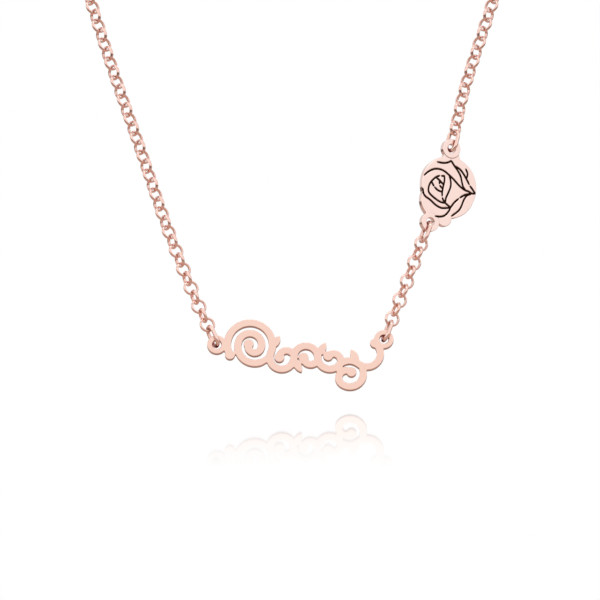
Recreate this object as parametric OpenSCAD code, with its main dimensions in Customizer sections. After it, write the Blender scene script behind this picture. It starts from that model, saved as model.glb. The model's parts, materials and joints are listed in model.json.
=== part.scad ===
// Rose-gold plate necklace: a pierced scrollwork plate and an engraved rose charm on a fine rolo chain.
// Millimetres. The origin is at the nape, in the middle of the clasp. +Z is up, the front of the necklace
// faces -Y, and +X is to the right as seen from the front.

/* [Chain] */
// Outer diameter of a chain link
link_od = 2.72; // [2.48:0.04:2.88]
// Radial thickness of a link's half-round wire
link_t = 0.36; // [0.28:0.02:0.38]
// Width of a link's half-round wire
link_w = 0.52; // [0.44:0.02:0.56]
// Clearance between one link and the next
link_gap = 0.15; // [0.14:0.01:0.18]
// Clearance between a ring and what hangs in it
hang_gap = 0.14; // [0.12:0.01:0.16]

/* [Jump rings] */
// Wire diameter of the oval jump rings
ring_wire = 0.65; // [0.5:0.05:0.7]
// Inner length of the oval jump rings
ring_in_l = 2.95; // [2.75:0.1:3.65]
// Inner width of the oval jump rings
ring_in_w = 1.55; // [1.55:0.05:1.8]
// Turn of the plate's jump rings away from edge-on to the plate
ring_turn = 20; // [0:1:22]

/* [Scrollwork plate] */
// Distance between the plate's two eyelet holes
plate_span = 28.4; // [27:0.2:32]
// Thickness of the plate's sheet
plate_th = 1; // [0.7:0.05:1.05]
// Width of the plate's pierced strokes
stroke_w = 1.25; // [1.05:0.05:1.35]
// Diameter of the ball that ends each curl
ball_d = 1.7; // [1.4:0.1:1.9]
// Width of the plate's leaves
leaf_w = 1.3; // [1:0.1:1.5]
// Outer diameter of the plate's eyelets and of the charm's tabs
eye_od = 3.3; // [3:0.1:3.8]
// Hole diameter of the plate's eyelets and of the charm's tabs
eye_hole = 1.55; // [1.5:0.05:1.7]

/* [Rose charm] */
// Radius of the charm's main round
charm_r = 5.2; // [4.8:0.1:5.8]
// Thickness of the charm's disc
charm_th = 1; // [0.8:0.05:1.05]
// Height of the charm's tabs above its face
tab_rise = 0.08; // [0.04:0.02:0.14]
// Width of the engraved lines
groove_w = 0.3; // [0.2:0.02:0.34]
// Depth of the engraved lines
groove_depth = 0.12; // [0.08:0.02:0.2]
// Turn of the charm about the line through its two holes
charm_turn = 26; // [0:1:35]

/* [Clasp] */
// Outer diameter of the spring ring
clasp_od = 6; // [5.5:0.1:7]
// Wire diameter of the spring ring
clasp_wire = 1.3; // [1.1:0.05:1.4]
// Outer diameter of the spring ring's small eyelet
clasp_eye_od = 2.5; // [2.4:0.05:3]
// Wire diameter of the spring ring's small eyelet
clasp_eye_wire = 0.6; // [0.5:0.05:0.65]
// Outer diameter of the small ring beside the clasp
small_ring_od = 3.3; // [3.2:0.1:3.8]
// Wire diameter of the small ring beside the clasp
small_ring_wire = 0.6; // [0.5:0.05:0.65]
// Outer diameter of the end ring that the clasp hooks into
end_ring_od = 4.5; // [4.3:0.1:5.2]
// Wire diameter of the end ring
end_ring_wire = 0.7; // [0.6:0.05:0.75]

/* [Hidden] */
$fn = 48;

rose_gold = [0.91, 0.68, 0.6];
chain_gold = [0.85, 0.6, 0.52];

// Backward lean of the front of the necklace, as it lies on a chest
chest_lean = 16;
// Left eyelet hole of the plate: to the side of the nape, in front of it and below it
plate_at = [-12.8, -98, -129];
// Lower hole of the charm, from the plate's left eyelet hole: across and up the leaning front
charm_at = [36.2, 21.8];
// Turn of the lower and of the upper charm ring away from edge-on to the charm
lower_ring_turn = 2;
upper_ring_turn = 20;
// Roll of the links away from facing forward: beside the rings it follows them, farther on it is this
roll_mid = 45;
// Length of chain over which the roll settles
roll_run = 26;
// How deep the clasp's eyelet is soldered into its spring ring, past half its wire
clasp_solder = 0.1;

// Routes of the chain: x, y, z and the way that it faces, from 0 at the front to 180 at the back
ROUTE_LEFT = [
    [-16.5, -95.7, -121, 0],
    [-21.3, -92.3, -109, 0],
    [-25.8, -88.6, -96, 0],
    [-30.3, -84.9, -83.2, 0],
    [-34.5, -81.2, -70.4, 6],
    [-39.5, -75.5, -54.5, 22],
    [-46, -65, -37, 52],
    [-51, -47, -21, 85],
    [-46.5, -25, -10.5, 120],
    [-30.5, -6.6, -3, 156],
    [-18, -1.1, -0.4, 172],
    [-11, -0.15, -0.05, 178]
];
ROUTE_LOWER_RIGHT = [
    [19.7, -94.8, -117.8, 0]
];
ROUTE_UPPER_RIGHT = [
    [29.9, -85.1, -84, 0],
    [34.4, -81.2, -70.3, 6],
    [39.5, -75.5, -54.5, 22],
    [46, -65, -37, 52],
    [51, -47, -21, 85],
    [46.5, -25, -10.5, 120],
    [30.5, -6.6, -3, 156],
    [18, -1.1, -0.4, 172],
    [11, -0.15, -0.05, 178]
];

// Scrolls of the plate from left to right: height and centre-line radius, as shares of plate_span, and the
// radii of the half turns of its curl, as shares of its own radius
SCROLLS = [
    [0, 0.135, [0.76, 0.52, 0.29]],
    [-0.08, 0.072, [0.6]],
    [-0.08, 0.072, [0.6]],
    [-0.08, 0.072, [0.6]],
    [-0.185, 0.085, [0.94, 0.55]],
    [-0.056, 0.081, []]
];
// Place of the first scroll, as a share of plate_span, and the angle at which its outer arc begins
first_scroll_x = 0.198;
first_scroll_angle = 208;
// Angle by which the last arc runs on past the right eyelet
last_scroll_over = 12;
// Height of the right eyelet hole above the left one, as a share of plate_span
right_hole_rise = 0.033;
// Leaves of the plate: x, height and length, as shares of plate_span, and the way that each points
LEAVES = [
    [0.331, -0.023, 0.09, 60],
    [0.46, -0.085, 0.1, -62],
    [0.605, -0.075, 0.1, 62],
    [0.845, -0.12, 0.1, 114]
];

// Lobes of the charm's outline: x, height and radius, as shares of charm_r
LOBES = [
    [-0.05, 0.1, 0.995],
    [-0.05, -0.03, 0.945],
    [-0.42, -0.42, 0.64],
    [-0.21, 0.18, 0.83],
    [-0.2, -1, 0.26],
    [0.02, 1.02, 0.3]
];
// Lower and upper hole of the charm, as shares of charm_r
charm_hole_low = [-0.71, -1.16];
charm_hole_top = [0, 1.36];
// Engraved lines of the rose, each a row of points in shares of charm_r
ROSE_LINES = [
    [[-0.5, 0.86], [-0.27, 0.85], [-0.1, 0.89], [0, 0.95]],
    [[0, 0.95], [0.12, 0.79], [0.25, 0.64], [0.36, 0.46], [0.41, 0.28], [0.46, 0.12], [0.55, 0.01]],
    [[0.12, 0.79], [0.3, 0.71], [0.43, 0.59], [0.56, 0.41], [0.68, 0.22]],
    [[0.71, 0.17], [0.8, 0.07], [0.9, -0.06]],
    [[0.9, -0.06], [0.78, -0.07]],
    [[0.54, 0.72], [0.61, 0.57], [0.57, 0.39]],
    [[-0.97, 0.38], [-0.79, 0.53], [-0.6, 0.62], [-0.41, 0.63], [-0.24, 0.58], [-0.1, 0.49], [0.1, 0.34],
        [0.32, 0.14], [0.52, 0.02], [0.65, -0.01], [0.78, -0.07]],
    [[-0.06, 0.46], [0, 0.27], [0, 0.08], [-0.08, -0.13], [-0.16, -0.31], [-0.18, -0.47]],
    [[-0.41, 0.41], [-0.54, 0.35], [-0.7, 0.2], [-0.79, 0.03], [-0.8, -0.14], [-0.72, -0.25],
        [-0.51, -0.39], [-0.35, -0.46], [-0.18, -0.48]],
    [[-0.34, 0.41], [-0.23, 0.42]],
    [[-0.23, 0.42], [-0.23, 0.25], [-0.27, 0.06], [-0.3, -0.12], [-0.3, -0.25]],
    [[-0.29, -0.32], [-0.25, -0.4], [-0.18, -0.48]],
    [[-0.54, 0.35], [-0.4, 0.25], [-0.27, 0.13]],
    [[-0.4, 0.25], [-0.41, 0.2], [-0.4, 0.15]],
    [[-0.39, 0.08], [-0.34, 0.03], [-0.29, 0]],
    [[-0.7, 0.2], [-0.66, 0.12], [-0.61, 0.05]],
    [[-0.58, 0.01], [-0.46, -0.08], [-0.3, -0.12]],
    [[-0.18, -0.48], [-0.08, -0.55], [0.02, -0.61]],
    [[-1.01, -0.08], [-0.97, -0.25], [-0.89, -0.34], [-0.74, -0.42], [-0.54, -0.57], [-0.35, -0.65],
        [-0.2, -0.65], [0.02, -0.61]],
    [[0.02, -0.61], [0.13, -0.45], [0.3, -0.29]],
    [[0.35, -0.25], [0.53, -0.14], [0.78, -0.07]],
    [[0.02, -0.61], [-0.07, -0.77], [-0.2, -0.9], [-0.36, -0.95], [-0.54, -0.95]],
    [[0.78, -0.07], [0.6, -0.16], [0.49, -0.32], [0.4, -0.55], [0.29, -0.71], [0.06, -0.89]]
];
line_steps = 4;
// Width of an engraved line's ends and how far they run past their points, as shares of groove_w
tip_share = 0.5;
tip_over = 0.35;
route_steps = 12;
// Angle between the points of a scroll's arc, and the angle over which a curl widens as it leaves the stem
arc_step = 6;
curl_start = 50;
curl_start_share = 0.6;

link_ri = link_od / 2 - link_t;
link_wire_r = (pow(link_w / 2, 2) + pow(link_t, 2)) / (2 * link_t);
link_pitch = 2 * sqrt(pow(link_ri, 2) - pow(link_w / 2, 2)) - link_gap;
ring_end_r = ring_in_w / 2;
clasp_r = (clasp_od - clasp_wire) / 2;
clasp_eye_r = (clasp_eye_od - clasp_eye_wire) / 2;
clasp_eye_x = clasp_od / 2 + clasp_eye_r - clasp_solder;
small_ring_r = (small_ring_od - small_ring_wire) / 2;
end_ring_r = (end_ring_od - end_ring_wire) / 2;

function unit(v) = v / norm(v);
function dir(a) = [cos(a), sin(a)];
function place(v) = [v[0], v[1], v[2]];

// Smooth curve through a list of points
function between(a, b, c, d, t) =
    0.5 * (2 * b + (c - a) * t + (2 * a - 5 * b + 4 * c - d) * t * t + (3 * b - a - 3 * c + d) * t * t * t);
function curve(p, steps) = concat(
    [for (i = [0:len(p) - 2], k = [0:steps - 1])
        between(
            i == 0 ? 2 * p[0] - p[1] : p[i - 1],
            p[i],
            p[i + 1],
            i == len(p) - 2 ? 2 * p[i + 1] - p[i] : p[i + 2],
            k / steps
        )],
    [p[len(p) - 1]]
);

// The leaning front: a point across it and up it, and its three directions
front_up = [0, sin(chest_lean), cos(chest_lean)];
front_normal = [0, -cos(chest_lean), sin(chest_lean)];
function on_front(p) = plate_at + [p[0], 0, 0] + p[1] * front_up;

// How far a ring's round inner end stays from the edge of a wall that it holds
function seat(ring_r, half_wall) = ring_r - sqrt(pow(ring_r - hang_gap, 2) - pow(half_wall, 2));
// Half the wall that a ring holds, with its wire's share where the ring isn't square across the wall
function half_wall(wall, turn) = wall / 2 / cos(turn) + ring_wire / 4 * abs(tan(turn));
// From an eyelet's hole to the centre of the oval ring, and to the centre of the link that hangs in it
function ring_reach(wall, turn) = eye_hole / 2 - seat(ring_end_r, half_wall(wall, turn)) + ring_in_l / 2;
function link_reach(wall, turn) =
    ring_reach(wall, turn) + ring_in_l / 2 + link_ri - seat(ring_end_r, link_w / 2);

// Holes and the directions of the rings in them
plate_hole_left = plate_at;
plate_hole_right = on_front([1, right_hole_rise] * plate_span);
charm_low = on_front(charm_at);
charm_top = charm_low + charm_r * ((charm_hole_top - charm_hole_low)[0] * [1, 0, 0]
    + (charm_hole_top - charm_hole_low)[1] * front_up);
charm_axis = unit(charm_top - charm_low);
left_way = unit(place(ROUTE_LEFT[0]) - plate_hole_left);
right_way = unit(place(ROUTE_LOWER_RIGHT[0]) - plate_hole_right);
charm_low_way = unit(place(ROUTE_LOWER_RIGHT[0]) - charm_low);
charm_top_way = unit(place(ROUTE_UPPER_RIGHT[0]) - charm_top);
tab_th = charm_th + tab_rise;

// The direction in which a ring or a link faces: forward, rolled about its own way
function facing(way, forward, roll) =
    let (f = unit(forward - (forward * way) * way))
    cos(roll) * f + sin(roll) * cross(way, f);

// The curve through a route's rows, closely stepped, each with the length of chain up to it in front
function laid(p) =
    let (
        fine = curve(p, route_steps),
        run = [for (i = 0, s = 0; i < len(fine); i = i + 1,
            s = i < len(fine) ? s + norm(place(fine[i]) - place(fine[i - 1])) : s) s]
    )
    [for (i = [0:len(fine) - 1]) concat([run[i]], fine[i])];
function table(line, column) = [for (row = line) [row[0], row[column]]];

// The frame of a piece: its own x runs along way and its axis points along face
module set_in(at, way, face) {
    side = cross(face, way);
    multmatrix([
        [way[0], side[0], face[0], at[0]],
        [way[1], side[1], face[1], at[1]],
        [way[2], side[2], face[2], at[2]],
        [0, 0, 0, 1]
    ]) children();
}

// One link: a ring of half-round wire, flat inside
module link() {
    rotate_extrude() intersection() {
        translate([link_od / 2 - link_wire_r, 0]) circle(link_wire_r);
        translate([link_ri, -link_w]) square([link_od, 2 * link_w]);
    }
}

// A chain of links from its first to its last row, with each link a quarter turn from the one before. Side
// is the side of the neck that it passes, and the end links face as the rings beside them ask
module chain(rows, side, first_roll, last_face) {
    line = laid(rows);
    xs = table(line, 1);
    ys = table(line, 2);
    zs = table(line, 3);
    ways = table(line, 4);
    length = line[len(line) - 1][0];
    count = ceil(length / link_pitch);
    pitch = length / count;
    last_roll = last_face + 90 * (count % 2);
    rolls = [[0, first_roll], [roll_run, roll_mid], [length - roll_run, roll_mid], [length, last_roll]];
    short_rolls = [[0, first_roll], [length, last_roll]];
    for (i = [0:count]) {
        s = i * pitch;
        at = [for (column = [xs, ys, zs]) lookup(s, column)];
        a = max(0, s - pitch / 2);
        b = min(length, s + pitch / 2);
        way = unit([for (column = [xs, ys, zs]) lookup(b, column) - lookup(a, column)]);
        turned = lookup(s, ways);
        forward = [side * sin(turned), -cos(turned), 0];
        roll = lookup(s, length > 3 * roll_run ? rolls : short_rolls) + 90 * (i % 2);
        set_in(at, way, facing(way, forward, roll)) link();
    }
}

// An oval ring of round wire, long along x
module oval_ring() {
    straight = ring_in_l - ring_in_w;
    for (m = [0, 1]) mirror([m, 0, 0]) {
        translate([straight / 2, 0, 0]) rotate([0, 0, -90]) rotate_extrude(angle = 180)
            translate([ring_end_r + ring_wire / 2, 0]) circle(ring_wire / 2);
    }
    for (m = [0, 1]) mirror([0, m, 0]) translate([-straight / 2, ring_end_r + ring_wire / 2, 0])
        rotate([0, 90, 0]) cylinder(h = straight, r = ring_wire / 2);
}

module round_ring(r, wire) {
    rotate_extrude() translate([r, 0]) circle(wire / 2);
}

// An oval ring that hangs in a hole, rolled about its way, and turned by turn from square across the sheet
module ring_in_hole(hole, way, roll, turn, wall) {
    set_in(hole + ring_reach(wall, turn) * way, way, facing(way, front_normal, roll + 90)) oval_ring();
}

module dot(at, d) {
    translate(at) cylinder(h = plate_th, d = d);
}

// Points along an arc, without its last one
function arc_points(centre, r, from, sweep) =
    let (count = ceil(abs(sweep) / arc_step))
    [for (k = [0:count - 1]) centre + r * dir(from + sweep * k / count)];

// A line of given widths along a row of points
function ribbon(p, widths) =
    let (
        last = len(p) - 1,
        way = [for (i = [0:last]) unit(p[min(i + 1, last)] - p[max(i - 1, 0)])],
        side = [for (i = [0:last]) widths[i] / 2 * [-way[i][1], way[i][0]]]
    )
    concat([for (i = [0:last]) p[i] + side[i]], [for (i = [last:-1:0]) p[i] - side[i]]);
function even(p, w) = [for (v = p) w];

// The scrolls: each touches the one before, and they turn over and under by turns
function scroll_centre(i) =
    i == 0 ? [first_scroll_x, SCROLLS[0][0]] :
    let (before = scroll_centre(i - 1), reach = SCROLLS[i - 1][1] + SCROLLS[i][1])
    [before[0] + sqrt(pow(reach, 2) - pow(SCROLLS[i][0] - before[1], 2)), SCROLLS[i][0]];
function bearing(a, b) = atan2(b[1] - a[1], b[0] - a[0]);
right_hole = [1, right_hole_rise] * plate_span;
last_scroll = len(SCROLLS) - 1;
centres = [for (i = [0:last_scroll]) scroll_centre(i) * plate_span];
radii = [for (row = SCROLLS) row[1] * plate_span];
spins = [for (i = [0:last_scroll]) i % 2 == 0 ? -1 : 1];
starts = [for (i = [0:last_scroll]) i == 0 ? first_scroll_angle : bearing(centres[i], centres[i - 1])];
ends = [for (i = [0:last_scroll])
    i < last_scroll ? bearing(centres[i], centres[i + 1]) :
        bearing(centres[i], right_hole) + last_scroll_over];
function sweep(i) = spins[i] * ((spins[i] * (ends[i] - starts[i]) + 720) % 360);
stem = concat(
    [for (i = [0:last_scroll]) each arc_points(centres[i], radii[i], starts[i], sweep(i))],
    [centres[last_scroll] + radii[last_scroll] * dir(ends[last_scroll])]
);

// The half turns of a curl, each about its own centre so that it runs on from the one before
function curl(centre, r, at_angle, spin, shares, k = 0, last = 1) =
    k == len(shares) ? [centre + r * last * dir(at_angle)] :
    let (moved = centre + r * (last - shares[k]) * dir(at_angle))
    concat(
        arc_points(moved, r * shares[k], at_angle, spin * 180),
        curl(moved, r, at_angle + 180, spin, shares, k + 1, shares[k])
    );
function curl_widths(p) = [for (k = [0:len(p) - 1])
    stroke_w * min(1, curl_start_share + (1 - curl_start_share) * k * arc_step / curl_start)];

// A leaf: two arcs that meet in a point at each end
module leaf(at, length, way) {
    r = (pow(length, 2) + pow(leaf_w, 2)) / (4 * leaf_w);
    translate(at) rotate([0, 0, way]) linear_extrude(plate_th) intersection() {
        translate([length / 2, r - leaf_w / 2]) circle(r);
        translate([length / 2, leaf_w / 2 - r]) circle(r);
    }
}

// The plate flat on its back: x along it, y up it and its left hole at the origin
module flat_plate() {
    difference() {
        union() {
            linear_extrude(plate_th) polygon(ribbon(stem, even(stem, stroke_w)));
            dot(stem[0], ball_d);
            dot(stem[len(stem) - 1], ball_d);
            for (i = [0:last_scroll]) if (len(SCROLLS[i][2]) > 0) {
                line = curl(centres[i], radii[i], ends[i], spins[i], SCROLLS[i][2]);
                linear_extrude(plate_th) polygon(ribbon(line, curl_widths(line)));
                dot(line[len(line) - 1], ball_d);
            }
            for (row = LEAVES) leaf([row[0], row[1]] * plate_span, row[2] * plate_span, row[3]);
            for (hole = [[0, 0], right_hole]) dot(hole, eye_od);
        }
        for (hole = [[0, 0], right_hole]) translate([hole[0], hole[1], -plate_th])
            cylinder(h = 3 * plate_th, d = eye_hole);
    }
}

module nameplate() {
    color(rose_gold) set_in(plate_at - front_normal * plate_th / 2, [1, 0, 0], front_normal) flat_plate();
}

// The outline of an engraved line, which the graver leaves narrower at its ends
module engraved(p) {
    last = len(p) - 1;
    over = groove_w * tip_over;
    line = concat(
        [p[0] + over * unit(p[0] - p[1])],
        [for (i = [1:last - 1]) p[i]],
        [p[last] + over * unit(p[last] - p[last - 1])]
    );
    polygon(ribbon(line, [for (i = [0:last]) groove_w * (i == 0 || i == last ? tip_share : 1)]));
}

// The charm flat on its back, with its centre at the origin
module flat_charm() {
    holes = [charm_hole_low, charm_hole_top] * charm_r;
    difference() {
        union() {
            linear_extrude(charm_th) for (lobe = LOBES)
                translate([lobe[0], lobe[1]] * charm_r) circle(lobe[2] * charm_r);
            for (hole = holes) translate(hole) cylinder(h = tab_th, d = eye_od);
        }
        for (hole = holes) translate([hole[0], hole[1], -charm_th])
            cylinder(h = 3 * charm_th, d = eye_hole);
        translate([0, 0, charm_th - groove_depth]) linear_extrude(groove_depth + tab_rise)
            for (line = ROSE_LINES) engraved(curve(line * charm_r, line_steps));
    }
}

module rose_charm() {
    across = facing(charm_axis, front_normal, charm_turn);
    flat_axis = unit(charm_hole_top - charm_hole_low);
    low = charm_hole_low * charm_r;
    color(rose_gold) set_in(charm_low - across * tab_th / 2, charm_axis, across)
        rotate([0, 0, -bearing([0, 0], flat_axis)]) translate([-low[0], -low[1], 0]) flat_charm();
}

module jump_ring_left() {
    color(rose_gold) ring_in_hole(plate_hole_left, left_way, ring_turn, ring_turn, plate_th);
}

module jump_ring_right() {
    color(rose_gold) ring_in_hole(plate_hole_right, right_way, ring_turn, ring_turn, plate_th);
}

module charm_ring_lower() {
    roll = -charm_turn - lower_ring_turn;
    color(rose_gold) ring_in_hole(charm_low, charm_low_way, roll, lower_ring_turn, tab_th);
}

module charm_ring_upper() {
    roll = charm_turn + upper_ring_turn;
    color(rose_gold) ring_in_hole(charm_top, charm_top_way, roll, upper_ring_turn, tab_th);
}

// A ring's inner radius, and where the rings and the chain's end links hang beside the clasp
function inner(r, wire) = r - wire / 2;
small_in = inner(small_ring_r, small_ring_wire);
end_in = inner(end_ring_r, end_ring_wire);
end_ring_x = clasp_r - clasp_wire / 2 - hang_gap + end_in;
small_ring_x = clasp_eye_wire / 2 - clasp_eye_x - clasp_eye_r + hang_gap - small_in;
right_end_x = end_ring_x + end_in - seat(end_in, link_w / 2) + link_ri;
left_end_x = small_ring_x - small_in + seat(small_in, link_w / 2) - link_ri;

module chain_left() {
    start = plate_hole_left + link_reach(plate_th, ring_turn) * left_way;
    rows = concat([concat(start, [0])], ROUTE_LEFT, [[left_end_x, 0, 0, 180]]);
    color(chain_gold) chain(rows, -1, ring_turn, 0);
}

module chain_lower_right() {
    start = plate_hole_right + link_reach(plate_th, ring_turn) * right_way;
    stop = charm_low + link_reach(tab_th, lower_ring_turn) * charm_low_way;
    rows = concat([concat(start, [0])], ROUTE_LOWER_RIGHT, [concat(stop, [0])]);
    color(chain_gold) chain(rows, 1, ring_turn, charm_turn + lower_ring_turn);
}

module chain_upper_right() {
    start = charm_top + link_reach(tab_th, upper_ring_turn) * charm_top_way;
    rows = concat([concat(start, [0])], ROUTE_UPPER_RIGHT, [[right_end_x, 0, 0, 180]]);
    color(chain_gold) chain(rows, 1, charm_turn + upper_ring_turn, 0);
}

module clasp() {
    color(rose_gold) rotate([90, 0, 0]) {
        round_ring(clasp_r, clasp_wire);
        translate([-clasp_eye_x, 0, 0]) round_ring(clasp_eye_r, clasp_eye_wire);
    }
}

module clasp_ring_left() {
    color(rose_gold) translate([small_ring_x, 0, 0]) round_ring(small_ring_r, small_ring_wire);
}

module end_ring_right() {
    color(rose_gold) translate([end_ring_x, 0, 0]) round_ring(end_ring_r, end_ring_wire);
}

nameplate();
rose_charm();
jump_ring_left();
jump_ring_right();
charm_ring_lower();
charm_ring_upper();
chain_left();
chain_lower_right();
chain_upper_right();
clasp();
clasp_ring_left();
end_ring_right();
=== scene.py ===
"""A rose-gold necklace: scrollwork plate, engraved rose charm and fine rolo chain, lit for a catalogue."""

import json
import math
import random

import bmesh
import bpy
import numpy as np
from mathutils import Matrix, Vector
from mathutils.bvhtree import BVHTree

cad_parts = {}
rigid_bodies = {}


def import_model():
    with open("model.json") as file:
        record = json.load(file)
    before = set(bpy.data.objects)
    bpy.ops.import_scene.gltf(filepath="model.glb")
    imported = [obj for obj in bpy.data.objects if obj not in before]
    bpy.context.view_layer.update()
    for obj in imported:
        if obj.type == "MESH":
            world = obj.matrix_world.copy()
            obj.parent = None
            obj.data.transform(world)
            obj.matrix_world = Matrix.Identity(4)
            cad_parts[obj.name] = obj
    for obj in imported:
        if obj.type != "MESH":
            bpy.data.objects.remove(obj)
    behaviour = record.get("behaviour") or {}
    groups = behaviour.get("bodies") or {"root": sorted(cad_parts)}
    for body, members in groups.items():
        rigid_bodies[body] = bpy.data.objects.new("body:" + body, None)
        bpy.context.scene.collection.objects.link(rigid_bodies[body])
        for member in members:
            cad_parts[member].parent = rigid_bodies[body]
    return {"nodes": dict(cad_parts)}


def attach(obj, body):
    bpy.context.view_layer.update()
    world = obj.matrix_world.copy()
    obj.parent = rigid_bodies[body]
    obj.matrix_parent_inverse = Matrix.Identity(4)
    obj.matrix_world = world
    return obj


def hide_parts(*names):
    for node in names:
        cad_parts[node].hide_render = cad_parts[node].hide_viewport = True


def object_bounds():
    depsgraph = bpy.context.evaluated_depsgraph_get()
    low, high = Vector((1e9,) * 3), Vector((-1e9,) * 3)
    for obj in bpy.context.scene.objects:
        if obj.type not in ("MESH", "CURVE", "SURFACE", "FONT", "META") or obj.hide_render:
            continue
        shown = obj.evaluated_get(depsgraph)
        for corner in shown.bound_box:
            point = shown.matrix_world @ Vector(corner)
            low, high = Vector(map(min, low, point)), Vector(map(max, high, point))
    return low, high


for leftover in list(bpy.data.objects):
    bpy.data.objects.remove(leftover)

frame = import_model()
cad_box = [list(corner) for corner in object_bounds()]

MM = 0.001
BODY = "root"
CHAINS = ("chain_left", "chain_lower_right", "chain_upper_right")
RINGS = (
    "jump_ring_left", "jump_ring_right", "charm_ring_lower", "charm_ring_upper",
    "clasp", "clasp_ring_left", "end_ring_right",
)

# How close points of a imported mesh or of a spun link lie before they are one
PACKED_MERGE = 0.0001 * MM
SPUN_MERGE = 0.001 * MM

# How the necklace was photographed: the middle of the picture, how much of the plate's plane it spans, and
# the camera's lens, sensor and range
VIEW_CENTRE = Vector((1.34, -98.0, -121.3)) * MM
VIEW_SPAN = 102.0 * MM
LENS = 480.0
SENSOR = 36.0
NEAREST_SEEN = 0.05
FARTHEST_SEEN = 20.0

# The floor: how far under the necklace it lies, its radius and the Y of its middle
FLOOR_DROP = 1.9 * MM
FLOOR_RADIUS = 6.0
FLOOR_MIDDLE = -0.05
# Light that the metal gets from the room and, warmed by the necklace itself, from the floor
WHITE = (1.0, 1.0, 1.0, 1.0)
WORLD_GLOW = 0.8
FLOOR_GLOW = 0.2
FLOOR_WARMTH = (1.0, 0.78, 0.68, 1.0)
# The brighter strip of floor that the sheet pieces mirror: its glow, and where along Y it comes and goes
STRIP_GLOW = 0.57
STRIP_FRONT = (-0.2, -0.14)
STRIP_BACK = (-0.01, 0.03)
# How much of a mirror the floor is to a low camera in front of the plate, where along Y that comes and goes,
# how near to grazing the camera has to look, and the roughness of that mirror
FLOOR_SHINE = 0.45
SHINE_FRONT = (-0.62, -0.38)
SHINE_BACK = (-0.1, -0.09)
SHINE_GRAZING = (0.8, 0.97)
SHINE_ROUGHNESS = 0.015
# Softboxes: name, direction from the plate, distance, width and height in metres, and brightness
SOFTBOXES = (
    ("key", (0.0, -0.848, 0.53), 0.6, (1.3, 0.55), 0.2),
    ("right_fill", (0.8, -0.5, 0.45), 0.7, (0.7, 0.7), 0.2),
    ("left_strip", (-0.9, -0.35, 0.2), 0.8, (0.25, 0.8), 0.8),
    ("top_strip", (-0.15, -0.25, 0.95), 0.8, (1.2, 0.12), 1.6),
    ("back_top", (0.1, 0.7, 0.9), 0.9, (0.9, 0.4), 0.6),
)

# Fine noises, those of the hairlines and the oxide: their detail and roughness
FINE_NOISE = (4.0, 0.7)
# Hand polish: how the hairlines turn, tilt and are drawn out, the part of their noise that shows, what they
# add to the wear and how deep they are, the clouds' part and wear, and the strength of the relief
HAIRLINE_TURNS = (0.5, -0.9)
HAIRLINE_TILT = 0.3
HAIRLINE_DRAW = (1.0, 0.6, 0.04)
HAIRLINE_BAND = (0.6, 0.72)
HAIRLINE_WEAR = 0.4
HAIRLINE_DEPTH = 0.35
CLOUD_BAND = (0.35, 0.7)
CLOUD_WEAR = 0.6
RELIEF_STRENGTH = 0.25
# Recesses, where painted shade darkens the colour and the metal is left duller: rays that look for them,
# the openness between which shaded and dull gives way to clean, how patches break them up, down to the
# least share that stays, and the roughness that they add
RECESS_RAYS = 6
RECESS_OPENNESS = (0.25, 0.85)
RECESS_PATCHES = (0.3, 0.7)
RECESS_LEAST = 0.75
RECESS_ROUGHNESS = 0.16
# How steep the surface is where the face's tone begins to give way to the painted shade on the cut
# sides, and where it has
CUT_SLOPE = (0.5, 0.95)
# How far a link's own tone may go towards the deep one
LINK_TONE_SHARE = 0.45

# The sheet pieces: grain of the remesh in millimetres, and how often and how far tumbling smooths their edges
PLATE_GRAIN = 0.074
CHARM_GRAIN = 0.058
PLATE_TUMBLING = 8
CHARM_TUMBLING = 3
TUMBLING_PULL = 0.5
# How nearly straight up a level face's normal points
LEVEL = 0.999
# The engraving: its depth in millimetres, the shares of it between which metal gives way to black, the share
# past which a point is no part of it, and how near its walls a point has to lie, in millimetres
ENGRAVING_DEPTH = 0.12
BLACK_FROM = 0.24
BLACK_TO = 0.36
BLACK_DEEPEST = 1.5
BLACK_REACH = 0.09
# The oxide in it: its two tones, the scale of its grains and the part of their noise that shows, the
# roughness that it adds and its gloss
OXIDE_DARK = (0.012, 0.004, 0.002, 1.0)
OXIDE_WORN = (0.036, 0.012, 0.006, 1.0)
OXIDE_GRAINS = 6000.0
OXIDE_BAND = (0.3, 0.8)
OXIDE_ROUGHNESS = (0.35, 0.55)
OXIDE_GLOSS = 0.02

# The chain links: sides of the wire, steps round the link, rounding of its two inner corners, and how close
# to the plane of the flat inside the cut and the corners lie
WIRE_SIDES = 12
LINK_STEPS = 32
LINK_CORNER = 0.05 * MM
CUT_SLACK = 1e-7
CORNER_SLACK = 1e-6


def in_scene(name, data):
    """A mesh, light or camera as an object of the scene."""
    thing = bpy.data.objects.new(name, data)
    bpy.context.scene.collection.objects.link(thing)
    return thing


def mesh_of(name, bm):
    """A mesh from a bmesh, which is used up."""
    mesh = bpy.data.meshes.new(name)
    bm.to_mesh(mesh)
    bm.free()
    return mesh


def new_piece(name, bm, material, replaces):
    """A finished mesh as a piece of the necklace that stands for a CAD node."""
    mesh = mesh_of(name, bm)
    mesh.polygons.foreach_set("use_smooth", [True] * len(mesh.polygons))
    mesh.materials.append(material)
    piece = in_scene(name, mesh)
    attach(piece, BODY)
    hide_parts(replaces)


def merged_copy(node):
    """A node's mesh as one closed skin."""
    bm = bmesh.new()
    bm.from_mesh(frame["nodes"][node].data)
    bmesh.ops.remove_doubles(bm, verts=bm.verts, dist=PACKED_MERGE)
    return bm


# Node groups and materials

def new_group(name, inputs, outputs):
    """An empty shader node group with named sockets, its input values and its input and output nodes."""
    group = bpy.data.node_groups.new(name, "ShaderNodeTree")
    for label, kind, value in inputs:
        socket = group.interface.new_socket(label, in_out="INPUT", socket_type=kind)
        socket.default_value = value
    for label, kind in outputs:
        group.interface.new_socket(label, in_out="OUTPUT", socket_type=kind)
    return group, group.nodes.new("NodeGroupInput"), group.nodes.new("NodeGroupOutput")


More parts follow.
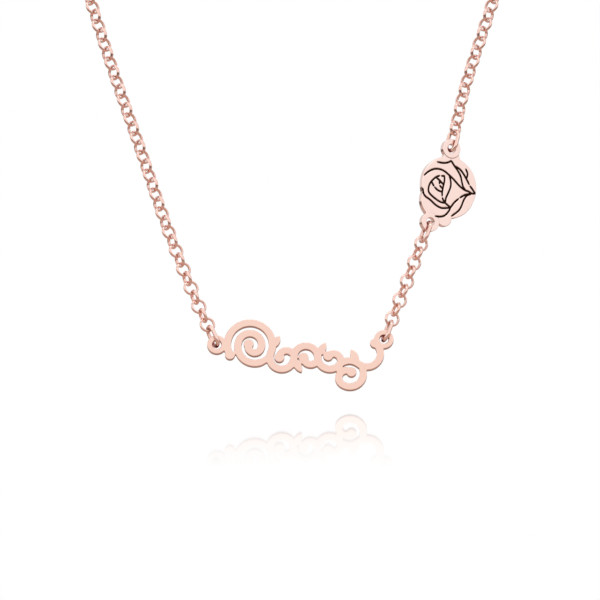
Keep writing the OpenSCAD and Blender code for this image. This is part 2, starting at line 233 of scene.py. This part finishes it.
def object_place(tree):
    """Where a point of the surface lies in the necklace's frame."""
    return tree.nodes.new("ShaderNodeTexCoord").outputs["Object"]


def attribute(tree, name):
    """A number that the mesh carries at its vertices."""
    node = tree.nodes.new("ShaderNodeAttribute")
    node.attribute_name = name
    return node.outputs["Fac"]


def noise(tree, vector, scale, detail=3.0, roughness=0.55):
    """A noise texture with a number for its scale, or a socket that carries one."""
    texture = tree.nodes.new("ShaderNodeTexNoise")
    texture.inputs["Detail"].default_value = detail
    texture.inputs["Roughness"].default_value = roughness
    tree.links.new(vector, texture.inputs["Vector"])
    if isinstance(scale, (int, float)):
        texture.inputs["Scale"].default_value = scale
    else:
        tree.links.new(scale, texture.inputs["Scale"])
    return texture.outputs["Fac"]


def spread(tree, value, low, high, to_low=0.0, to_high=1.0):
    """A value from one range stretched over another and held inside it."""
    node = tree.nodes.new("ShaderNodeMapRange")
    for label, limit in (("From Min", low), ("From Max", high), ("To Min", to_low), ("To Max", to_high)):
        if isinstance(limit, (int, float)):
            node.inputs[label].default_value = limit
        else:
            tree.links.new(limit, node.inputs[label])
    tree.links.new(value, node.inputs["Value"])
    return node.outputs["Result"]


def math_node(tree, operation, first, second):
    """The result of one operation on two values, each a number or a socket."""
    node = tree.nodes.new("ShaderNodeMath")
    node.operation = operation
    for socket, value in zip(node.inputs, (first, second)):
        if isinstance(value, (int, float)):
            socket.default_value = value
        else:
            tree.links.new(value, socket)
    return node.outputs["Value"]


def between(tree, value, rise, fall):
    """1 from the end of the rise to the start of the fall, 0 outside them, and a slope over each."""
    return math_node(tree, "MINIMUM", spread(tree, value, *rise), spread(tree, value, *fall, 1.0, 0.0))


def mix_colour(tree, factor, first, second):
    """A colour between two others, each a colour or a socket."""
    node = tree.nodes.new("ShaderNodeMix")
    node.data_type = "RGBA"
    tree.links.new(factor, node.inputs["Factor"])
    for socket, value in ((node.inputs["A"], first), (node.inputs["B"], second)):
        if isinstance(value, tuple):
            socket.default_value = value
        else:
            tree.links.new(value, socket)
    return node.outputs["Result"]


def make_polish_group():
    """Hand-polished plating: soft clouds of tone, hairline scratches two ways and a faint waviness."""
    group, given, result = new_group(
        "hand_polish",
        [
            ("Tone", "NodeSocketColor", (0.9, 0.6, 0.5, 1.0)),
            ("Deep Tone", "NodeSocketColor", (0.8, 0.5, 0.4, 1.0)),
            ("Cloud Scale", "NodeSocketFloat", 300.0),
            ("Scratch Scale", "NodeSocketFloat", 2500.0),
            ("Smoothest", "NodeSocketFloat", 0.08),
            ("Roughest", "NodeSocketFloat", 0.2),
        ],
        [
            ("Colour", "NodeSocketColor"),
            ("Roughness", "NodeSocketFloat"),
            ("Height", "NodeSocketFloat"),
        ],
    )
    where = object_place(group)
    hairlines = []
    for turn in HAIRLINE_TURNS:
        stretch = group.nodes.new("ShaderNodeMapping")
        stretch.inputs["Rotation"].default_value = (0.0, turn, HAIRLINE_TILT * turn)
        stretch.inputs["Scale"].default_value = HAIRLINE_DRAW
        group.links.new(where, stretch.inputs["Vector"])
        lines = noise(group, stretch.outputs["Vector"], given.outputs["Scratch Scale"], *FINE_NOISE)
        hairlines.append(spread(group, lines, *HAIRLINE_BAND))
    scratches = math_node(group, "MAXIMUM", *hairlines)
    clouds = noise(group, where, given.outputs["Cloud Scale"])
    tint = spread(group, clouds, *CLOUD_BAND)
    cloudy = math_node(group, "MULTIPLY", tint, CLOUD_WEAR)
    scratched = math_node(group, "MULTIPLY", scratches, HAIRLINE_WEAR)
    worn = math_node(group, "ADD", cloudy, scratched)
    colour = mix_colour(group, worn, given.outputs["Tone"], given.outputs["Deep Tone"])
    rough = spread(group, worn, 0.0, 1.0, given.outputs["Smoothest"], given.outputs["Roughest"])
    dips = math_node(group, "MULTIPLY", scratches, -HAIRLINE_DEPTH)
    height = math_node(group, "ADD", clouds, dips)
    group.links.new(colour, result.inputs["Colour"])
    group.links.new(rough, result.inputs["Roughness"])
    group.links.new(height, result.inputs["Height"])
    return group


def make_recess_group():
    """Painted shade and real dullness in corners and between links: how much of each a point gets."""
    group, given, result = new_group(
        "recess_shade_and_tarnish",
        [("Reach", "NodeSocketFloat", 0.5 * MM), ("Break Scale", "NodeSocketFloat", 1500.0)],
        [("Shade And Dullness", "NodeSocketFloat")],
    )
    hidden = group.nodes.new("ShaderNodeAmbientOcclusion")
    hidden.samples = RECESS_RAYS
    group.links.new(given.outputs["Reach"], hidden.inputs["Distance"])
    patches = noise(group, object_place(group), given.outputs["Break Scale"], 2.0)
    broken = spread(group, patches, *RECESS_PATCHES, RECESS_LEAST, 1.0)
    depth = spread(group, hidden.outputs["AO"], *RECESS_OPENNESS, 1.0, 0.0)
    group.links.new(math_node(group, "MULTIPLY", depth, broken), result.inputs["Shade And Dullness"])
    return group


POLISH = make_polish_group()
RECESS = make_recess_group()


def start_material(name):
    """A new material, its node tree and its Principled shader."""
    material = bpy.data.materials.new(name)
    material.use_nodes = True
    return material, material.node_tree, material.node_tree.nodes["Principled BSDF"]


def blackened(tree, shader, colour, roughness):
    """Oxidised metal in the engraved lines: dark, dull and a little uneven, and not metallic any more."""
    black = spread(tree, attribute(tree, "groove_depth"), BLACK_FROM, BLACK_TO)
    grains = noise(tree, object_place(tree), OXIDE_GRAINS, *FINE_NOISE)
    oxide = mix_colour(tree, spread(tree, grains, *OXIDE_BAND), OXIDE_DARK, OXIDE_WORN)
    dull = math_node(tree, "MULTIPLY", spread(tree, grains, *OXIDE_BAND, *OXIDE_ROUGHNESS), black)
    shader.inputs["Specular IOR Level"].default_value = OXIDE_GLOSS
    tree.links.new(math_node(tree, "SUBTRACT", 1.0, black), shader.inputs["Metallic"])
    return mix_colour(tree, black, colour, oxide), math_node(tree, "ADD", roughness, dull)


def polished_metal(name, tone, deep, recess, cloud, scratch, rough, reach=0.5 * MM,
                   bump=0.03 * MM, link_tone=False, cut_side_shade=None, engraved=False):
    """Polished rose gold: tone for its faces, deep for its clouds, recess for painted shade in its corners.
    """
    material, tree, shader = start_material(name)
    shader.inputs["Metallic"].default_value = 1.0
    polish = tree.nodes.new("ShaderNodeGroup")
    polish.node_tree = POLISH
    for label, value in (
        ("Tone", tone), ("Deep Tone", deep), ("Cloud Scale", cloud), ("Scratch Scale", scratch),
        ("Smoothest", rough[0]), ("Roughest", rough[1]),
    ):
        polish.inputs[label].default_value = value
    corners = tree.nodes.new("ShaderNodeGroup")
    corners.node_tree = RECESS
    corners.inputs["Reach"].default_value = reach
    # Painted shade: the colour goes towards recess where ambient occlusion finds corners and gaps between
    # links
    colour = mix_colour(tree, corners.outputs["Shade And Dullness"], polish.outputs["Colour"], recess)
    if link_tone:
        own = math_node(tree, "MULTIPLY", attribute(tree, "link_tone"), LINK_TONE_SHARE)
        colour = mix_colour(tree, own, colour, deep)
    if cut_side_shade:
        # Painted shade on the cut sides: the steeper the surface, the nearer its colour comes to the darker
        # one given
        side = spread(tree, attribute(tree, "cut_side_shade"), *CUT_SLOPE)
        colour = mix_colour(tree, side, colour, cut_side_shade)
    dull = math_node(tree, "MULTIPLY", corners.outputs["Shade And Dullness"], RECESS_ROUGHNESS)
    roughness = math_node(tree, "ADD", polish.outputs["Roughness"], dull)
    if engraved:
        colour, roughness = blackened(tree, shader, colour, roughness)
    tree.links.new(colour, shader.inputs["Base Color"])
    tree.links.new(roughness, shader.inputs["Roughness"])
    relief = tree.nodes.new("ShaderNodeBump")
    relief.inputs["Strength"].default_value = RELIEF_STRENGTH
    relief.inputs["Distance"].default_value = bump
    tree.links.new(polish.outputs["Height"], relief.inputs["Height"])
    tree.links.new(relief.outputs["Normal"], shader.inputs["Normal"])
    return material


# Third colour: painted shade in the corners; the plate's last colour: painted shade on its cut sides
PLATE_METAL = polished_metal(
    "rose_gold_plate_polish", (0.94, 0.66, 0.56, 1.0), (0.92, 0.62, 0.53, 1.0), (0.45, 0.16, 0.11, 1.0),
    cloud=160.0, scratch=1500.0, rough=(0.1, 0.2), bump=0.012 * MM, cut_side_shade=(0.44, 0.25, 0.2, 1.0),
)
CHARM_METAL = polished_metal(
    "rose_gold_charm_polish", (0.955, 0.745, 0.685, 1.0), (0.94, 0.69, 0.62, 1.0), (0.4, 0.13, 0.09, 1.0),
    cloud=160.0, scratch=1500.0, rough=(0.1, 0.2), bump=0.012 * MM, engraved=True,
)
WIRE_METAL = polished_metal(
    "rose_gold_wire_polish", (0.95, 0.68, 0.6, 1.0), (0.91, 0.6, 0.52, 1.0), (0.3, 0.04, 0.03, 1.0),
    cloud=500.0, scratch=3000.0, rough=(0.06, 0.18), reach=1.0 * MM,
)
CHAIN_METAL = polished_metal(
    "rose_gold_chain_polish", (0.95, 0.67, 0.59, 1.0), (0.9, 0.57, 0.49, 1.0), (0.55, 0.155, 0.135, 1.0),
    cloud=700.0, scratch=3500.0, rough=(0.08, 0.22), reach=0.4 * MM, link_tone=True,
)


# The sheet pieces

def largest_side(bm):
    """The outward direction of a sheet's front face, the one of its two large sides that looks forward."""
    areas = {}
    for face in bm.faces:
        if face.normal.y < 0:
            key = tuple(round(value, 2) for value in face.normal)
            total, direction = areas.get(key, (0.0, Vector()))
            area = face.calc_area()
            areas[key] = (total + area, direction + face.normal * area)
    return max(areas.values(), key=lambda entry: entry[0])[1].normalized()


def laid_flat(bm):
    """Turns a sheet's copy onto its back, in millimetres about its own middle, and returns the way home."""
    up = largest_side(bm)
    middle = sum((vert.co for vert in bm.verts), Vector()) / len(bm.verts)
    turn = up.rotation_difference(Vector((0.0, 0.0, 1.0))).to_matrix().to_4x4()
    flat = Matrix.Scale(1.0 / MM, 4) @ turn @ Matrix.Translation(-middle)
    bm.transform(flat)
    bm.normal_update()
    return flat.inverted()


def remeshed(bm, grain, tumbling):
    """The skin of a solid, which is used up, in an even grain and with edges rounded as by tumbling."""
    work = in_scene("grain", mesh_of("grain", bm))
    even = work.modifiers.new("even_grain", "REMESH")
    even.mode = "VOXEL"
    even.voxel_size = grain
    rounding = work.modifiers.new("tumbling", "SMOOTH")
    rounding.factor = TUMBLING_PULL
    rounding.iterations = tumbling
    depsgraph = bpy.context.evaluated_depsgraph_get()
    done = bmesh.new()
    done.from_mesh(work.evaluated_get(depsgraph).to_mesh())
    bpy.data.objects.remove(work)
    return done


def sheet_plate():
    """The scrollwork plate: pierced sheet with tumbled edges, whose cut sides get a painted shade."""
    flat = merged_copy("nameplate")
    home = laid_flat(flat)
    plate = remeshed(flat, PLATE_GRAIN, PLATE_TUMBLING)
    plate.normal_update()
    # How steep each point is: the mask of the painted shade on the cut sides
    side = plate.verts.layers.float.new("cut_side_shade")
    for vert in plate.verts:
        vert[side] = 1.0 - abs(vert.normal.z)
    plate.transform(home)
    new_piece("scrollwork_plate", plate, PLATE_METAL, "nameplate")


def groove_tree(bm, top):
    """The walls and floors of the engraved lines, all triangles, to find what lies in them."""
    low = top - ENGRAVING_DEPTH
    close = 0.01  # millimetres
    grooves = [
        face for face in bm.faces
        if min(vert.co.z for vert in face.verts) > low - close
        and max(vert.co.z for vert in face.verts) < top + close
        and min(vert.co.z for vert in face.verts) < top - close
    ]
    verts = [vert.co.copy() for face in grooves for vert in face.verts]
    return BVHTree.FromPolygons(verts, [(3 * i, 3 * i + 1, 3 * i + 2) for i in range(len(grooves))])


def disc_face_height(bm):
    """Height of the charm's face, the largest flat area that looks up."""
    areas = {}
    for face in bm.faces:
        if face.normal.z > LEVEL:
            key = round(face.calc_center_median().z, 2)
            areas[key] = areas.get(key, 0.0) + face.calc_area()
    return max(areas, key=areas.get)


def engraved_charm():
    """The rose charm: a disc with two raised tabs and blackened engraved lines."""
    flat = merged_copy("rose_charm")
    home = laid_flat(flat)
    top = disc_face_height(flat)
    grooves = groove_tree(flat, top)
    charm = remeshed(flat, CHARM_GRAIN, CHARM_TUMBLING)
    depth = charm.verts.layers.float.new("groove_depth")
    for vert in charm.verts:
        share = (top - vert.co.z) / ENGRAVING_DEPTH
        if 0.0 < share < BLACK_DEEPEST and grooves.find_nearest(vert.co, BLACK_REACH)[0] is not None:
            vert[depth] = share
    charm.transform(home)
    new_piece("engraved_rose_charm", charm, CHARM_METAL, "rose_charm")


# The chains

def loose_links(node):
    """Centre, axis and points of each loose link of a chain."""
    bm = merged_copy(node)
    seen = set()
    links = []
    for start in bm.verts:
        if start in seen:
            continue
        seen.add(start)
        island = [start]
        for vert in island:
            for edge in vert.link_edges:
                other = edge.other_vert(vert)
                if other not in seen:
                    seen.add(other)
                    island.append(other)
        points = np.array([vert.co for vert in island])
        centre = points.mean(axis=0)
        axis = np.linalg.svd(points - centre, full_matrices=False)[2][2]
        links.append((Vector(centre), Vector(axis), points))
    bm.free()
    return links


def link_sizes(link):
    """Outer radius, inner radius and width of a link, from its own points."""
    centre, axis, points = link
    offsets = points - np.array(centre)
    along = offsets @ np.array(axis)
    out = np.linalg.norm(offsets - np.outer(along, np.array(axis)), axis=1)
    return out.max(), out.min(), along.max() - along.min()


def half_round_link(outer, inner, width):
    """One link lying flat about the origin: half-round wire, flat inside with softened corners."""
    thick = outer - inner
    wire = ((width / 2) ** 2 + thick ** 2) / (2 * thick)  # radius of the round side
    bm = bmesh.new()
    bmesh.ops.create_circle(bm, segments=WIRE_SIDES, radius=wire, cap_ends=True)
    bmesh.ops.rotate(bm, verts=bm.verts, cent=(0, 0, 0), matrix=Matrix.Rotation(math.pi / 2, 3, "X"))
    bmesh.ops.translate(bm, verts=bm.verts, vec=(outer - wire, 0.0, 0.0))
    bmesh.ops.bisect_plane(
        bm, geom=bm.verts[:] + bm.edges[:] + bm.faces[:], dist=CUT_SLACK,
        plane_co=(inner, 0, 0), plane_no=(-1, 0, 0), clear_outer=True,
    )
    corners = [vert for vert in bm.verts if vert.co.x < inner + CORNER_SLACK]
    bmesh.ops.bevel(
        bm, geom=corners, offset=LINK_CORNER, offset_type="OFFSET", affect="VERTICES",
        segments=1, profile=0.5, material=-1, clamp_overlap=False,
    )
    bmesh.ops.delete(bm, geom=bm.faces[:], context="FACES_ONLY")
    bmesh.ops.spin(
        bm, geom=bm.verts[:] + bm.edges[:], cent=(0, 0, 0), axis=(0, 0, 1),
        angle=math.tau, steps=LINK_STEPS, use_merge=True,
    )
    bmesh.ops.remove_doubles(bm, verts=bm.verts, dist=SPUN_MERGE)
    bmesh.ops.recalc_face_normals(bm, faces=bm.faces)
    return bm


def rolo_chain(node, seed):
    """A chain of half-round links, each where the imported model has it."""
    chance = random.Random(seed)
    links = loose_links(node)
    pattern = mesh_of("link", half_round_link(*link_sizes(links[0])))
    chain = bmesh.new()
    tone = chain.verts.layers.float.new("link_tone")
    for centre, axis, _ in links:
        before = len(chain.verts)
        place = Matrix.Translation(centre) @ axis.to_track_quat("Z", "Y").to_matrix().to_4x4()
        pattern.transform(place)
        chain.from_mesh(pattern)
        pattern.transform(place.inverted())
        chain.verts.ensure_lookup_table()
        shade = chance.random()
        for vert in chain.verts[before:]:
            vert[tone] = shade
    bpy.data.meshes.remove(pattern)
    new_piece("rolo_" + node, chain, CHAIN_METAL, node)


# The stage

def floor_finish():
    """White to the eye, dim and warm to the metal, and a faint mirror to a low camera beside the plate."""
    material, tree, shader = start_material("pale_floor")
    tree.nodes.remove(shader)
    eye = tree.nodes.new("ShaderNodeLightPath").outputs["Is Camera Ray"]
    place = tree.nodes.new("ShaderNodeSeparateXYZ")
    tree.links.new(object_place(tree), place.inputs["Vector"])
    along = place.outputs["Y"]
    grazing = spread(tree, tree.nodes.new("ShaderNodeLayerWeight").outputs["Facing"], *SHINE_GRAZING)
    beside = between(tree, along, SHINE_FRONT, SHINE_BACK)
    seen = math_node(tree, "MULTIPLY", math_node(tree, "MULTIPLY", beside, grazing), eye)
    shine = math_node(tree, "MULTIPLY", seen, FLOOR_SHINE)
    # The glow's share and the mirrored room's share come to white together
    lacking = math_node(tree, "SUBTRACT", 1.0, math_node(tree, "MULTIPLY", shine, WORLD_GLOW))
    white = math_node(tree, "DIVIDE", lacking, math_node(tree, "SUBTRACT", 1.0, shine))
    strip = between(tree, along, STRIP_FRONT, STRIP_BACK)
    metal = spread(tree, strip, 0.0, 1.0, FLOOR_GLOW, STRIP_GLOW)
    glow = tree.nodes.new("ShaderNodeEmission")
    tree.links.new(spread(tree, eye, 0.0, 1.0, metal, white), glow.inputs["Strength"])
    tree.links.new(mix_colour(tree, eye, FLOOR_WARMTH, WHITE), glow.inputs["Color"])
    mirror = tree.nodes.new("ShaderNodeBsdfGlossy")
    mirror.inputs["Color"].default_value = WHITE
    mirror.inputs["Roughness"].default_value = SHINE_ROUGHNESS
    both = tree.nodes.new("ShaderNodeMixShader")
    tree.links.new(shine, both.inputs["Fac"])
    tree.links.new(glow.outputs["Emission"], both.inputs[1])
    tree.links.new(mirror.outputs["BSDF"], both.inputs[2])
    tree.links.new(both.outputs["Shader"], tree.nodes["Material Output"].inputs["Surface"])
    return material


def pale_floor():
    """A plain round floor just under the necklace."""
    bm = bmesh.new()
    bmesh.ops.create_circle(bm, segments=96, radius=FLOOR_RADIUS, cap_ends=True)
    height = cad_box[0][2] - FLOOR_DROP
    bmesh.ops.translate(bm, verts=bm.verts, vec=(0.0, FLOOR_MIDDLE, height))
    mesh = mesh_of("floor", bm)
    mesh.materials.append(floor_finish())
    in_scene("floor", mesh)


def soft_world():
    """White to the eye, and a little dimmer to the metal, which leaves room for the softboxes."""
    world = bpy.data.worlds.new("studio")
    bpy.context.scene.world = world
    world.use_nodes = True
    tree = world.node_tree
    back = tree.nodes["Background"]
    back.inputs["Color"].default_value = WHITE
    eye = tree.nodes.new("ShaderNodeLightPath").outputs["Is Camera Ray"]
    tree.links.new(spread(tree, eye, 0.0, 1.0, WORLD_GLOW, 1.0), back.inputs["Strength"])


def softbox(name, direction, distance, size, brightness):
    """A rectangular softbox that looks at the plate, which a mirror shows white at a brightness of 1."""
    light = bpy.data.lights.new(name, "AREA")
    light.shape = "RECTANGLE"
    light.size, light.size_y = size
    light.energy = brightness * math.pi * light.size * light.size_y
    lamp = in_scene(name, light)
    way = Vector(direction).normalized()
    lamp.location = VIEW_CENTRE + way * distance
    lamp.rotation_euler = way.to_track_quat("Z", "Y").to_euler()


def photographer():
    """The camera, level with the plate and far in front of it, as in the photograph."""
    data = bpy.data.cameras.new("camera")
    data.lens = LENS
    data.sensor_width = SENSOR
    data.clip_start = NEAREST_SEEN
    data.clip_end = FARTHEST_SEEN
    camera = in_scene("camera", data)
    distance = VIEW_SPAN * LENS / SENSOR
    camera.location = VIEW_CENTRE + Vector((0.0, -distance, 0.0))
    camera.rotation_euler = (math.pi / 2, 0.0, 0.0)
    bpy.context.scene.camera = camera


photographer()
soft_world()
pale_floor()
for box in SOFTBOXES:
    softbox(*box)

sheet_plate()
engraved_charm()
for number, chain_node in enumerate(CHAINS):
    rolo_chain(chain_node, number)
for ring in RINGS:
    ring_piece = frame["nodes"][ring]
    ring_piece.data.materials.clear()
    ring_piece.data.materials.append(WIRE_METAL)

bpy.context.scene.view_settings.view_transform = "Standard"
